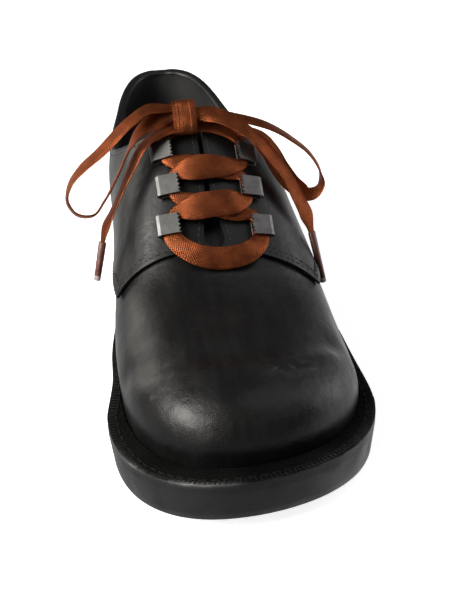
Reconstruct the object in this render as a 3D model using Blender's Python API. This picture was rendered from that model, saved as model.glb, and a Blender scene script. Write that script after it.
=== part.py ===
"""A plain-toe derby for the left foot, with folded metal lace clips and a flat woven lace.

The tables are in millimetres and the scene is in metres. The toe points along -Y, +X is the outer (lateral)
side of the foot and +Z is up. A station y runs back from the tip of the sole, and x runs out from the throat.
"""
import math

import bmesh
import bpy
import numpy as np
from mathutils import Matrix, Vector

MM = 0.001

# Driving dimensions
LENGTH = 302.0
AXIS_OFFSET = 0.8
OUTSOLE_THICK = 13.4
WELT_THICK = 4.0
INSOLE_THICK = 3.0
WALL = 2.0
QUARTER_THICK = 1.4
TONGUE_THICK = 2.0

# Clearances between pieces that meet
GAP = 0.3
FOOT_GAP = 0.5
WELT_GAP = 0.5
LAYER_GAP = 0.5
TONGUE_GAP = 0.8
QUARTER_FOOT = 1.0

# Plan: where the toe and heel arcs begin, their ends, and how square each arc is
WIDEST_Y = {"sole": 62.0, "last": 72.0}
SEAT_Y = 262.0
TOE_SQUARE = {"medial": 2.3, "lateral": 2.0, "length": 2.1}
HEEL_SQUARE = 2.1
ENDS = {
    "sole": {"toe": (-7.3, 0.0), "heel": (-5.0, LENGTH)},
    "last": {"toe": (-4.5, 13.2), "heel": (-5.0, 298.0)},
}

# Ridge of the last: the toe fans about one end of it and the heel about the other
RIDGE_TOE_Y = 50.0
RIDGE_HEEL_Y = 262.0

# Throat and collar
THROAT_Y = 113.0
FACING_TOP_Y = 161.0
COLLAR_START_Y = 174.0
LINING_SET_BACK = 0.5

# Quarter: its front edge and corner, where its lower edge reaches the welt, and half of the back seam
QUARTER_FRONT_Y = 114.0
CORNER_RISE = {"medial": 0.34, "lateral": 0.39}
CORNER_END_Y = 190.0
CORNER_SWEEP = 0.8
BACK_SEAM = 0.006

# Sole edge, heel block and insole
BREAST_Y = 214.0
HEEL_TAPER = 3.0
SOLE_CHAMFER = 0.7
SOLE_TAPER = 1.2
INSOLE_INSET = 3.2

# Lace clips
CLIP_LENGTH = 10.0
CLIP_WIDTH = 11.0
CLIP_SHEET = 0.9
CLIP_SLOT = 2.4
CLIP_FOOT_SHORTER = 1.0
CLIP_FOLD_STEPS = 4
CLIP_TEETH = 5
TOOTH_DEPTH = 1.1

# Lace: how far its middle lies inside a clip's middle, and how far it runs straight past a clip
LACE_WIDTH = 8.0
LACE_THICK = 0.9
LACE_INSIDE = 1.0
LACE_LEAD = 1.0
AGLET_RADIUS = 1.5
KNOT_ROUND = 2.2
KNOT_SIZE = (10.6, 7.0, 15.0)
KNOT_CENTRE = (-6.8, 161.0, 113.6)
KNOT_LEAN = math.radians(-35.0)

# How finely the forms are divided
RIB_ROWS = 10
QUARTER_ROWS = 11
TONGUE_ROWS = 4
TOE_STEPS = 9
HEEL_STEPS = 7
CROSSING_RINGS = 90
LOOP_RINGS = 28
END_RINGS = 16
NEAR_RIDGE = 0.985
SIDE_STATIONS = (72, 84, 96, 105, 113, 118, 124, 131, 139, 147, 154, 161, 163, 165, 167, 170, 174, 181,
                 190, 202, 214, 226, 238, 250, 262)
TONGUE_STATIONS = (107, 111, 115, 119, 124, 131, 139, 147, 154, 161, 167, 172)


class Sections:
    """Rows of named columns by station, read between the rows as a smooth curve."""

    def __init__(self, names, rows):
        values = np.array(rows, dtype=float)
        self.stations = values[:, 0]
        self.columns = dict(zip(names.split(), values.T))
        self.slopes = {name: np.gradient(column, self.stations) for name, column in self.columns.items()}

    def at(self, name, station):
        stations = self.stations
        station = min(max(station, stations[0]), stations[-1])
        row = min(max(int(np.searchsorted(stations, station)) - 1, 0), len(stations) - 2)
        step = stations[row + 1] - stations[row]
        u = (station - stations[row]) / step
        start, end = self.columns[name][row], self.columns[name][row + 1]
        start_slope = self.slopes[name][row] * step
        end_slope = self.slopes[name][row + 1] * step
        rise = end - start
        return start + u * (start_slope + u * (3 * rise - 2 * start_slope - end_slope
                                               + u * (start_slope + end_slope - 2 * rise)))


# Underside of the outsole: toe spring, flat tread, arch and heel seat
SOLE = Sections("y bottom", (
    (0, 7.4),
    (20, 3.2),
    (40, 0.8),
    (58, 0.0),
    (92, 0.0),
    (126, 0.0),
    (150, 2.6),
    (180, 8.8),
    (214, 14.6),
    (250, 16.6),
    (302, 18.0),
))

# Half-widths of the sole and of the last's foot edge, to each side of the throat line
PLAN = Sections("y sole_medial sole_lateral last_medial last_lateral", (
    (62, 56.2, 57.8, 48.2, 52.4),
    (67, 55.8, 57.7, 48.3, 52.8),
    (73, 54.4, 57.5, 48.4, 53.1),
    (81, 52.7, 57.3, 48.6, 53.5),
    (92, 51.9, 57.2, 48.8, 54.0),
    (110, 51.4, 57.2, 48.4, 54.2),
    (130, 49.2, 55.6, 46.2, 52.4),
    (155, 44.6, 50.6, 41.2, 47.0),
    (185, 40.2, 43.8, 36.6, 40.0),
    (215, 39.6, 38.8, 36.0, 35.0),
    (240, 41.4, 35.8, 37.6, 31.8),
    (262, 42.2, 33.8, 38.2, 29.8),
))

# Sections of the last by station of their foot: ridge height, squareness, belly and lean to the outer side
LAST = Sections("y ridge square_medial square_lateral belly_medial belly_lateral lean", (
    (13.2, 48.4, 2.8, 2.8, 1.2, 1.2, 0.03),
    (35, 48.4, 2.8, 2.7, 1.4, 1.2, 0.04),
    (50, 48.6, 2.8, 2.6, 1.6, 1.2, 0.05),
    (72, 49.6, 2.7, 2.4, 1.8, 1.4, 0.07),
    (90, 52.4, 2.6, 2.3, 2.0, 1.6, 0.09),
    (105, 57.6, 2.5, 2.2, 2.0, 1.6, 0.09),
    (121, 69.4, 2.5, 2.2, 2.0, 1.8, 0.09),
    (135, 82.4, 2.5, 2.2, 2.4, 2.0, 0.09),
    (150, 95.4, 2.5, 2.2, 3.4, 2.6, 0.09),
    (165, 106.0, 2.5, 2.2, 5.0, 3.4, 0.08),
    (185, 114.0, 2.5, 2.2, 7.0, 4.6, 0.06),
    (210, 118.0, 2.5, 2.2, 7.4, 5.0, 0.03),
    (235, 116.0, 2.3, 2.2, 4.4, 3.2, 0.02),
    (262, 113.0, 2.2, 2.2, 1.2, 1.2, 0.0),
    (280, 113.0, 2.3, 2.3, 1.0, 1.0, 0.0),
    (291, 113.0, 3.0, 3.0, 1.0, 1.0, 0.0),
    (298, 113.0, 4.6, 4.6, 1.0, 1.0, 0.0),
))

# Height of the collar edge
COLLAR = Sections("y medial lateral", (
    (174, 95.0, 91.0),
    (185, 89.5, 85.0),
    (200, 83.5, 79.5),
    (213, 81.5, 78.0),
    (230, 83.5, 80.5),
    (250, 87.5, 85.0),
    (275, 92.5, 91.5),
    (298, 98.0, 98.0),
))

# Half of the gap between the facings
THROAT = Sections("y half", (
    (113, 0.0),
    (116, 4.6),
    (121, 4.2),
    (128, 2.4),
    (136, 1.1),
    (150, 0.9),
    (161, 1.1),
))

# Half-width of the tongue
TONGUE = Sections("y half", (
    (107, 16.8),
    (117, 20.4),
    (127, 24.0),
    (172, 24.0),
))

# Lace clips: station of the middle and distance out from the throat line on each side
CLIPS = {
    1: {"y": 124.6, "medial": 18.6, "lateral": 20.8},
    2: {"y": 139.0, "medial": 16.4, "lateral": 18.6},
    3: {"y": 153.4, "medial": 16.6, "lateral": 18.6},
}

# Lacing: side and row of each clip in turn, whether the lace goes up through it, then the station and the
# height above the quarters at which the lace crosses to the next clip
LACING = (
    (1, 3, False, 144.6, 3.8),
    (-1, 2, False, 130.2, 2.0),
    (1, 1, False, 112.5, 2.4),
    (-1, 1, True, 131.4, 4.0),
    (1, 2, True, 145.8, 2.0),
    (-1, 3, True, None, None),
)

# The bow: x, y and z of the middle of the lace, and the turn of its face about its length in degrees
BOW = {
    "lace_loop_medial": (
        (-13, 165, 115.4, 0), (-22, 163, 116.4, 10), (-31, 158, 113, 20), (-47, 152, 101, 30),
        (-56, 149, 95, 45), (-62, 146, 89, 70), (-64, 143, 82, 85), (-60, 141, 76, 95), (-53, 141, 75, 100),
        (-47, 143, 81, 100), (-40, 147, 91, 100), (-33, 152, 102, 105), (-26, 157, 108, 140),
        (-14.5, 161, 111, 175)),
    "lace_end_medial": (
        (-14, 153, 109.8, 10), (-20, 149.5, 109.8, 15), (-28, 145.5, 104, 35), (-34, 143.5, 94.6, 60),
        (-39, 143, 85, 75), (-44, 141, 76, 70), (-48, 139, 69, 60), (-50, 137, 63, 60)),
    "lace_loop_lateral": (
        (0, 165, 114, 0), (13, 165, 111, -10), (25, 165, 107, -40), (35, 163, 103, -65), (45, 160, 97, -75),
        (54, 157, 89, -80), (58, 154, 81, -85), (58, 152, 75, -110), (52, 150, 72, -150),
        (45, 151, 76, -170), (38, 153, 85, -180), (32, 155, 92, -185)),
    "lace_end_lateral": (
        (0, 160, 113, 0), (9, 159, 112.2, 10), (18, 156, 107.8, 15), (26, 152, 102, 20),
        (33, 148.5, 93.2, 30), (40, 145, 83, 35), (44, 142, 74.6, 40), (48, 140, 65.2, 45),
        (50, 138, 57, 50)),
}
AGLETS = {
    "aglet_medial": ((-50.2, 136.4, 61.0), (-54.4, 132.0, 46.3)),
    "aglet_lateral": ((50.8, 137.0, 54.5), (54.4, 131.0, 33.1)),
}
BOW_FACE = Vector((0.0, -0.8, 0.6))

COLOURS = {
    "leather": ((0.012, 0.012, 0.013, 1.0), 0.42, 0.0),
    "lining": ((0.02, 0.02, 0.021, 1.0), 0.6, 0.0),
    "rubber": ((0.015, 0.015, 0.016, 1.0), 0.6, 0.0),
    "gunmetal": ((0.16, 0.16, 0.165, 1.0), 0.32, 1.0),
    "lace": ((0.32, 0.09, 0.03, 1.0), 0.8, 0.0),
    "aglet": ((0.18, 0.06, 0.035, 1.0), 0.4, 0.0),
}


def place(point):
    """A point in station millimetres as a scene position in metres."""
    return Vector(((point[0] - AXIS_OFFSET) * MM, (point[1] - LENGTH / 2) * MM, point[2] * MM))


def side_name(around):
    return "lateral" if around >= 0 else "medial"


def station_at(y, form="last"):
    """Place along the outline, 0 at the toe, 3 at the heel, of a station on the long sides."""
    return 1.0 + (y - WIDEST_Y[form]) / (SEAT_Y - WIDEST_Y[form])


OUTLINE_STATIONS = ([step / TOE_STEPS for step in range(TOE_STEPS)]
                    + [station_at(y) for y in SIDE_STATIONS]
                    + [2.0 + step / HEEL_STEPS for step in range(1, HEEL_STEPS + 1)])


def outline(form, around):
    """Plan point of the sole or the last: around runs 0 at the toe, -3 to 3 at the heel, lateral above 0."""
    if abs(around) > 3.0:
        around -= math.copysign(6.0, around)
    side = -1 if around < 0 else 1
    station = abs(around)
    column = form + "_" + side_name(around)
    widest_y = WIDEST_Y[form]
    if station < 1.0:
        turn = station * math.pi / 2
        end_x, end_y = ENDS[form]["toe"]
        half = side * PLAN.at(column, widest_y)
        width = math.sin(turn) ** (2.0 / TOE_SQUARE[side_name(around)])
        length = math.cos(turn) ** (2.0 / TOE_SQUARE["length"])
        return Vector((end_x + (half - end_x) * width, widest_y + (end_y - widest_y) * length))
    if station > 2.0:
        power = 2.0 / HEEL_SQUARE
        turn = (3.0 - station) * math.pi / 2
        end_x, end_y = ENDS[form]["heel"]
        half = side * PLAN.at(column, SEAT_Y)
        return Vector((end_x + (half - end_x) * math.sin(turn) ** power,
                       SEAT_Y + (end_y - SEAT_Y) * math.cos(turn) ** power))
    y = widest_y + (station - 1.0) * (SEAT_Y - widest_y)
    return Vector((side * PLAN.at(column, y), y))


def outset(form, around, distance):
    """Plan point moved outwards, square to the outline."""
    small = 0.01
    along = outline(form, around + small) - outline(form, around - small)
    return outline(form, around) + Vector((along.y, -along.x)).normalized() * distance


def sole_bottom(y):
    return max(0.0, SOLE.at("bottom", y))


def sole_top(y):
    return sole_bottom(y) + OUTSOLE_THICK


def ridge_x(y):
    """The ridge swings to the inner side behind the instep and at the toe."""
    heel_x = ENDS["last"]["heel"][0]
    back = min(max((y - FACING_TOP_Y) / (RIDGE_HEEL_Y - FACING_TOP_Y), 0.0), 1.0)
    return heel_x * back * back * (3 - 2 * back)


def last_point(around, rise):
    """Point on the last's surface: rise runs from 0 at the foot edge to 1 on the ridge."""
    foot = outline("last", around)
    side = "medial" if around < 0 or around > 3.0 else "lateral"
    ridge_y = min(max(foot.y, RIDGE_TOE_Y), RIDGE_HEEL_Y)
    ridge = Vector((ridge_x(ridge_y), ridge_y))
    square = LAST.at("square_" + side, foot.y)
    turn = min(max(rise, 0.0), 1.0) * math.pi / 2
    reach = max(math.cos(turn), 0.0) ** (2.0 / square)
    height = math.sin(turn) ** (2.0 / square)
    outward = foot - ridge
    belly = LAST.at("belly_" + side, foot.y) * math.sin(math.pi * height)
    plan = ridge + outward * reach + outward.normalized() * belly
    foot_z = sole_top(foot.y) + FOOT_GAP
    lean = LAST.at("lean", foot.y) * (plan.x - ridge.x) * height
    return Vector((plan.x, plan.y, foot_z + (LAST.at("ridge", ridge_y) - foot_z) * height - lean))


def last_normal(around, rise):
    small = 0.004
    rise = min(max(rise, small), NEAR_RIDGE)
    along = last_point(around + small, rise) - last_point(around - small, rise)
    up = last_point(around, rise + small) - last_point(around, rise - small)
    return along.cross(up).normalized()


def lifted(around, rise, lift):
    return last_point(around, rise) + last_normal(around, rise) * lift


def rise_at_half(around, half):
    """Rise at which a section is this far from the ridge."""
    foot = outline("last", around)
    square = LAST.at("square_" + side_name(around), foot.y)
    reach = min(half / abs(foot.x - ridge_x(foot.y)), 1.0)
    return math.acos(reach ** (square / 2)) / (math.pi / 2)


def rise_at_height(around, height):
    """First rise, going up from the foot, at which a section reaches this height."""
    low, high = 0.0, 0.9
    for _ in range(40):
        middle = (low + high) / 2
        if last_point(around, middle).z < height:
            low = middle
        else:
            high = middle
    return low


def top_rise(around, set_back=0.0):
    """Where a section of the upper ends: on the ridge, at the throat's edge or at the collar."""
    y = outline("last", around).y
    if y <= THROAT_Y:
        return 1.0
    collar = rise_at_height(around, COLLAR.at(side_name(around), y))
    if y >= COLLAR_START_Y:
        return collar
    throat = rise_at_half(around, THROAT.at("half", min(y, FACING_TOP_Y)) + set_back)
    if y <= FACING_TOP_Y:
        return throat
    blend = math.sin((y - FACING_TOP_Y) / (COLLAR_START_Y - FACING_TOP_Y) * math.pi / 2)
    return throat + (collar - throat) * blend


def material(name):
    colour, roughness, metallic = COLOURS[name]
    made = bpy.data.materials.get(name) or bpy.data.materials.new(name)
    made.use_nodes = True
    shader = made.node_tree.nodes["Principled BSDF"]
    shader.inputs["Base Color"].default_value = colour
    shader.inputs["Roughness"].default_value = roughness
    shader.inputs["Metallic"].default_value = metallic
    made.diffuse_color = colour
    return made


def add_object(name, points, faces, material_name, closed=True, smooth_angle=40.0):
    """One named object from station points and faces, with points that coincide merged."""
    mesh = bpy.data.meshes.new(name)
    mesh.from_pydata([place(point) for point in points], [], faces)
    form = bmesh.new()
    form.from_mesh(mesh)
    bmesh.ops.remove_doubles(form, verts=form.verts, dist=0.00001)
    bmesh.ops.dissolve_degenerate(form, edges=form.edges, dist=0.00001)
    if closed:
        bmesh.ops.recalc_face_normals(form, faces=form.faces)
    form.to_mesh(mesh)
    form.free()
    mesh.shade_smooth()
    mesh.set_sharp_from_angle(angle=math.radians(smooth_angle))
    mesh.materials.append(material(material_name))
    made = bpy.data.objects.new(name, mesh)
    bpy.context.scene.collection.objects.link(made)
    return made


def add_wall(made, thickness, offset):
    """Give a sheet its thickness: offset -1 goes inwards and +1 outwards."""
    wall = made.modifiers.new("wall", "SOLIDIFY")
    wall.thickness = thickness * MM
    wall.offset = offset
    wall.use_even_offset = True
    wall.use_rim = True


def grid_faces(columns, rows, closed=False):
    """Faces between neighbouring columns of rows points each."""
    count = columns if closed else columns - 1
    faces = []
    for column in range(count):
        after = (column + 1) % columns
        for row in range(rows - 1):
            faces.append((column * rows + row, after * rows + row,
                          after * rows + row + 1, column * rows + row + 1))
    return faces


def ladder_solid(name, levels, material_name):
    """A solid from closed outlines stacked upwards, each a lateral and a medial list from front to back."""
    points = []
    for lateral, medial in levels:
        points += lateral + medial[::-1]
    count = len(levels[0][0])
    ring = 2 * count
    faces = []
    for level in range(len(levels) - 1):
        for step in range(ring):
            after = (step + 1) % ring
            low = level * ring
            faces.append((low + step, low + after, low + ring + after, low + ring + step))
    top = (len(levels) - 1) * ring
    for step in range(count - 1):
        across = ring - 1 - step
        faces.append((step, across, across - 1, step + 1))
        faces.append((top + step, top + step + 1, top + across - 1, top + across))
    return add_object(name, points, faces, material_name)


def sole_level(stations, form, distance, height):
    """Lateral and medial points of an outline, moved out by a distance, with a height for each station."""
    sides = []
    for side in (1, -1):
        plan = [outset(form, side * station, distance) for station in stations]
        sides.append([Vector((point.x, point.y, height(point.y))) for point in plan])
    return sides


def make_outsole():
    levels = [
        sole_level(OUTLINE_STATIONS, "sole", -SOLE_TAPER - SOLE_CHAMFER, sole_bottom),
        sole_level(OUTLINE_STATIONS, "sole", -SOLE_TAPER, lambda y: sole_bottom(y) + SOLE_CHAMFER),
        sole_level(OUTLINE_STATIONS, "sole", 0.0, sole_top),
    ]
    ladder_solid("outsole", levels, "rubber")


def make_heel():
    stations = [station for station in OUTLINE_STATIONS if station >= station_at(BREAST_Y, "sole")]
    levels = [
        sole_level(stations, "sole", -HEEL_TAPER - SOLE_CHAMFER, lambda y: 0.0),
        sole_level(stations, "sole", -HEEL_TAPER, lambda y: SOLE_CHAMFER),
        sole_level(stations, "sole", -SOLE_TAPER - SOLE_CHAMFER, lambda y: sole_bottom(y) - GAP),
    ]
    ladder_solid("heel", levels, "rubber")


def make_insole():
    levels = [
        sole_level(OUTLINE_STATIONS, "last", -INSOLE_INSET, lambda y: sole_top(y) + GAP),
        sole_level(OUTLINE_STATIONS, "last", -INSOLE_INSET, lambda y: sole_top(y) + GAP + INSOLE_THICK),
    ]
    ladder_solid("insole", levels, "lining")


def wall_foot(around, height):
    """Plan point of the upper's lowest facet at a height above the foot edge."""
    foot = last_point(around, 0.0)
    first = last_point(around, top_rise(around) / RIB_ROWS)
    return foot.lerp(first, height / (first.z - foot.z)).to_2d()


def make_welt():
    points = []
    arounds = OUTLINE_STATIONS[:-1] + [-station for station in OUTLINE_STATIONS[:0:-1]]
    for around in arounds:
        outer = outline("sole", around)
        low = sole_top(outer.y) + GAP
        outward = outset("last", around, 1.0) - outline("last", around)
        clear = outward * WELT_GAP
        inner_low = wall_foot(around, 0.0) + clear
        inner_high = wall_foot(around, WELT_THICK) + clear
        inner_z = sole_top(inner_low.y) + GAP
        points += [
            Vector((outer.x, outer.y, low)),
            Vector((inner_low.x, inner_low.y, inner_z)),
            Vector((inner_high.x, inner_high.y, inner_z + WELT_THICK)),
            Vector((outer.x, outer.y, low + WELT_THICK)),
        ]
    rows = 4
    faces = grid_faces(len(arounds), rows, closed=True)
    for column in range(len(arounds)):
        after = (column + 1) % len(arounds)
        faces.append((column * rows + rows - 1, after * rows + rows - 1, after * rows, column * rows))
    add_object("welt", points, faces, "rubber")


def make_upper():
    points = []
    arounds = [-station for station in OUTLINE_STATIONS[:0:-1]] + OUTLINE_STATIONS[:-1]
    for around in arounds:
        top = top_rise(around, set_back=LINING_SET_BACK)
        points += [last_point(around, top * row / RIB_ROWS) for row in range(RIB_ROWS + 1)]
    faces = grid_faces(len(arounds), RIB_ROWS + 1, closed=True)
    made = add_object("upper", points, faces, "leather", closed=False)
    add_wall(made, WALL, -1.0)


def quarter_low(around):
    """Rise of the quarter's lower edge: from its front corner down to just above the welt."""
    foot = last_point(around, 0.0)
    welt = rise_at_height(around, foot.z + WELT_THICK + QUARTER_FOOT)
    back = min(max((foot.y - THROAT_Y) / (CORNER_END_Y - THROAT_Y), 0.0), 1.0)
    corner = CORNER_RISE[side_name(around)]
    return max(welt, corner + (welt - corner) * back ** CORNER_SWEEP)


def make_quarter(side):
    front = station_at(QUARTER_FRONT_Y)
    stations = [station for station in OUTLINE_STATIONS[:-1] if station >= front]
    stations = [front] + stations + [3.0 - BACK_SEAM]
    points = []
    for station in stations:
        around = side * station
        low = quarter_low(around)
        top = top_rise(around)
        points += [lifted(around, low + (top - low) * row / QUARTER_ROWS, LAYER_GAP)
                   for row in range(QUARTER_ROWS + 1)]
    faces = grid_faces(len(stations), QUARTER_ROWS + 1)
    if side < 0:
        faces = [face[::-1] for face in faces]
    made = add_object("quarter_" + side_name(side), points, faces, "leather", closed=False)
    add_wall(made, QUARTER_THICK, 1.0)


def make_tongue():
    depth = -(WALL + TONGUE_GAP)
    points = []
    for y in TONGUE_STATIONS:
        station = station_at(y)
        half = TONGUE.at("half", y)
        medial = rise_at_half(-station, half)
        lateral = rise_at_half(station, half)
        points += [lifted(-station, medial + (1.0 - medial) * row / TONGUE_ROWS, depth)
                   for row in range(TONGUE_ROWS)]
        points += [lifted(station, 1.0 + (lateral - 1.0) * row / TONGUE_ROWS, depth)
                   for row in range(TONGUE_ROWS + 1)]
    faces = [face[::-1] for face in grid_faces(len(TONGUE_STATIONS), 2 * TONGUE_ROWS + 1)]
    made = add_object("tongue", points, faces, "leather", closed=False)
    add_wall(made, TONGUE_THICK, -1.0)


def clip_frame(side, row):
    """Middle of a clip's foot on the quarter, and its outward, upward and normal directions."""
    lift = LAYER_GAP + QUARTER_THICK + GAP
    half = CLIPS[row][side_name(side)]
    y = CLIPS[row]["y"]
    spots = []
    for station_y in (y - CLIP_LENGTH / 2, y + CLIP_LENGTH / 2):
        around = side * station_at(station_y)
        spots.append(lifted(around, rise_at_half(around, half), lift))
    around = side * station_at(y)
    rise = rise_at_half(around, half)
    normal = last_normal(around, rise)
    along = (spots[1] - spots[0]).normalized()
    normal = (normal - along * normal.dot(along)).normalized()
    outward = along.cross(normal) * side
    return lifted(around, rise, lift), outward, along, normal


def clip_spot(side, row, out, along, height):
    middle, e_out, e_along, e_normal = clip_frame(side, row)
    return middle + e_out * out + e_along * along + e_normal * height


def make_clip(side, row):
    """A sheet folded at its outer end: a foot on the leather and, above it, a plate with a toothed edge."""
    plate = CLIP_SHEET + CLIP_SLOT
    bend = plate / 2
    inner = -CLIP_WIDTH / 2
    outer = CLIP_WIDTH / 2 - bend
    middle = bend + CLIP_SHEET / 2
    big = bend + CLIP_SHEET / 2
    small = bend - CLIP_SHEET / 2
    foot_end = inner + CLIP_FOOT_SHORTER
    turns = [math.pi * (step / CLIP_FOLD_STEPS - 0.5) for step in range(CLIP_FOLD_STEPS + 1)]
    outside = [(outer + big * math.cos(turn), middle + big * math.sin(turn)) for turn in turns]
    inside = [(outer + small * math.cos(turn), middle + small * math.sin(turn)) for turn in turns[::-1]]
    profile = [(foot_end, 0.0)] + outside
    profile += [(inner, plate + CLIP_SHEET), (inner, plate)] + inside + [(foot_end, CLIP_SHEET)]
    toothed = (len(outside) + 1, len(outside) + 2)
    steps = 2 * CLIP_TEETH
    points = []
    for step in range(steps + 1):
        along = CLIP_LENGTH * (step / steps - 0.5)
        notch = TOOTH_DEPTH if step % 2 else 0.0
        for index, (out, height) in enumerate(profile):
            shift = notch if index in toothed else 0.0
            points.append(clip_spot(side, row, out + shift, along, height))
    count = len(profile)
    faces = grid_faces(steps + 1, count)
    faces += [(step * count + count - 1, (step + 1) * count + count - 1, (step + 1) * count, step * count)
              for step in range(steps)]
    faces += [tuple(range(count))[::-1], tuple(range(steps * count, (steps + 1) * count))]
    add_object("eyelet_clip_%s_%d" % (side_name(side), row), points, faces, "gunmetal", smooth_angle=30.0)


def smooth_route(waypoints, steps):
    """Points on a smooth curve through the waypoints, with their extra columns."""
    values = np.array(waypoints, dtype=float)
    lengths = np.linalg.norm(np.diff(values[:, :3], axis=0), axis=1)
    travel = np.concatenate(([0.0], np.cumsum(lengths)))
    names = " ".join("c%d" % index for index in range(values.shape[1]))
    curve = Sections("t " + names, np.column_stack((travel, values)))
    stops = np.linspace(0.0, travel[-1], steps)
    return [[curve.at("c%d" % index, stop) for index in range(values.shape[1])] for stop in stops]


def ribbon(name, spots, faces_up):
    """A flat lace along the spots, with the direction that its face looks in at each."""
    points = []
    for index, spot in enumerate(spots):
        before = spots[max(index - 1, 0)]
        after = spots[min(index + 1, len(spots) - 1)]
        along = (after - before).normalized()
        across = along.cross(faces_up[index]).normalized()
        face = across.cross(along)
        for out, height in ((-1, -1), (1, -1), (1, 1), (-1, 1)):
            points.append(spot + across * (out * LACE_WIDTH / 2) + face * (height * LACE_THICK / 2))
    count = 4
    faces = []
    for column in range(len(spots) - 1):
        for row in range(count):
            after = (row + 1) % count
            faces.append((column * count + row, column * count + after,
                          (column + 1) * count + after, (column + 1) * count + row))
    faces += [(0, 3, 2, 1), tuple(range((len(spots) - 1) * count, len(spots) * count))]
    add_object(name, points, faces, "lace")


def crossing_route():
    """Waypoints of the lace from clip to clip: x, y, z and the face direction."""
    slot = CLIP_SHEET + CLIP_SLOT / 2
    reach = CLIP_LENGTH / 2 + LACE_LEAD
    route = []
    for side, row, upward, cross_y, cross_height in LACING:
        normal = clip_frame(side, row)[3]
        for along in (-reach, reach) if upward else (reach, -reach):
            route.append((*clip_spot(side, row, -LACE_INSIDE, along, slot), *normal))
        if cross_y:
            station = station_at(cross_y)
            height = LAYER_GAP + QUARTER_THICK + cross_height
            route.append((*lifted(station, NEAR_RIDGE, height), *last_normal(station, NEAR_RIDGE)))
    return route


def make_lace():
    rows = smooth_route(crossing_route(), CROSSING_RINGS)
    ribbon("lace_crossings", [Vector(row[:3]) for row in rows], [Vector(row[3:]) for row in rows])
    for name, waypoints in BOW.items():
        rows = smooth_route(waypoints, LOOP_RINGS if "loop" in name else END_RINGS)
        spots = [Vector(row[:3]) for row in rows]
        faces_up = []
        for index, row in enumerate(rows):
            along = spots[min(index + 1, len(spots) - 1)] - spots[max(index - 1, 0)]
            faces_up.append(Matrix.Rotation(math.radians(row[3]), 3, along) @ BOW_FACE)
        ribbon(name, spots, faces_up)


def make_knot():
    """The band of lace around the middle of the bow."""
    mesh = bpy.data.meshes.new("lace_knot")
    form = bmesh.new()
    bmesh.ops.create_cube(form, size=1.0)
    bmesh.ops.scale(form, verts=form.verts, vec=Vector(KNOT_SIZE) * MM)
    bmesh.ops.bevel(form, geom=form.edges, offset=KNOT_ROUND * MM, segments=2, affect="EDGES", profile=0.5)
    form.to_mesh(mesh)
    form.free()
    mesh.shade_smooth()
    mesh.materials.append(material("lace"))
    knot = bpy.data.objects.new("lace_knot", mesh)
    knot.location = place(KNOT_CENTRE)
    knot.rotation_euler = (KNOT_LEAN, 0.0, 0.0)
    bpy.context.scene.collection.objects.link(knot)


def make_aglets():
    for name, ends in AGLETS.items():
        curve = bpy.data.curves.new(name, "CURVE")
        curve.dimensions = "3D"
        curve.bevel_depth = AGLET_RADIUS * MM
        curve.bevel_resolution = 2
        curve.use_fill_caps = True
        spline = curve.splines.new("POLY")
        spline.points.add(len(ends) - 1)
        for point, end in zip(spline.points, ends):
            point.co = (*place(end), 1.0)
        curve.materials.append(material("aglet"))
        bpy.context.scene.collection.objects.link(bpy.data.objects.new(name, curve))


def main():
    for old in list(bpy.data.objects):
        bpy.data.objects.remove(old)
    make_outsole()
    make_heel()
    make_welt()
    make_insole()
    make_upper()
    make_tongue()
    for side in (-1, 1):
        make_quarter(side)
        for row in CLIPS:
            make_clip(side, row)
    make_lace()
    make_knot()
    make_aglets()


main()
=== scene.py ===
# %% [markdown]
# # Dressing a black derby
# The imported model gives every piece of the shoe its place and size. This lesson gives each piece its
# surface: soft leather, worn rubber, folded metal and a woven lace. Lengths are written in millimetres and
# multiplied by MM, because Blender works in metres. The toe points along -Y and +X is the outer side of the
# left foot.

# %% Load the frame
import math

import bmesh
import bpy
import numpy as np
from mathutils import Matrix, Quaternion, Vector
from mathutils.bvhtree import BVHTree


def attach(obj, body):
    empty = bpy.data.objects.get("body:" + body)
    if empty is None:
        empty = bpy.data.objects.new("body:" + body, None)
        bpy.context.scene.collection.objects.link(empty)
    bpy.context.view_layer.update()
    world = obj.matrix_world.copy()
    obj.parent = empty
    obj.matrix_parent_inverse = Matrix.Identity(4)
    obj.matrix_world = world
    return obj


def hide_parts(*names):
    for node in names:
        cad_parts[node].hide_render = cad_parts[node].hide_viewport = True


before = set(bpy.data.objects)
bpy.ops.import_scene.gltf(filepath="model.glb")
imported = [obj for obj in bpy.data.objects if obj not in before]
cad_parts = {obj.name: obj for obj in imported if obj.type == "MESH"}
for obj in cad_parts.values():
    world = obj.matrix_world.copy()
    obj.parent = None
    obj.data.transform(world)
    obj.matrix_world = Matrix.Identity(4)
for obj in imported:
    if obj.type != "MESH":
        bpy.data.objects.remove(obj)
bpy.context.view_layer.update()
MM = 0.001

# %% [markdown]
# ## Camera
# The picture is taken from in front of the toe and a little above it, close enough for the heel to look
# small. A camera could be moved by hand until the view agrees. Here its place, the point that it looks at
# and its slight roll are written down, so that the view is the same on every run.

# %% Camera
CAMERA_PLACE = Vector((-49.0, -411.0, 247.5)) * MM
CAMERA_TARGET = Vector((0.5, -51.0, 46.0)) * MM
CAMERA_ROLL = -0.041
PICTURE_HEIGHT_PX = 600
FOCAL_PX = 930
SENSOR_HEIGHT = 24.0
NEAREST_SEEN = 0.01

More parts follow.
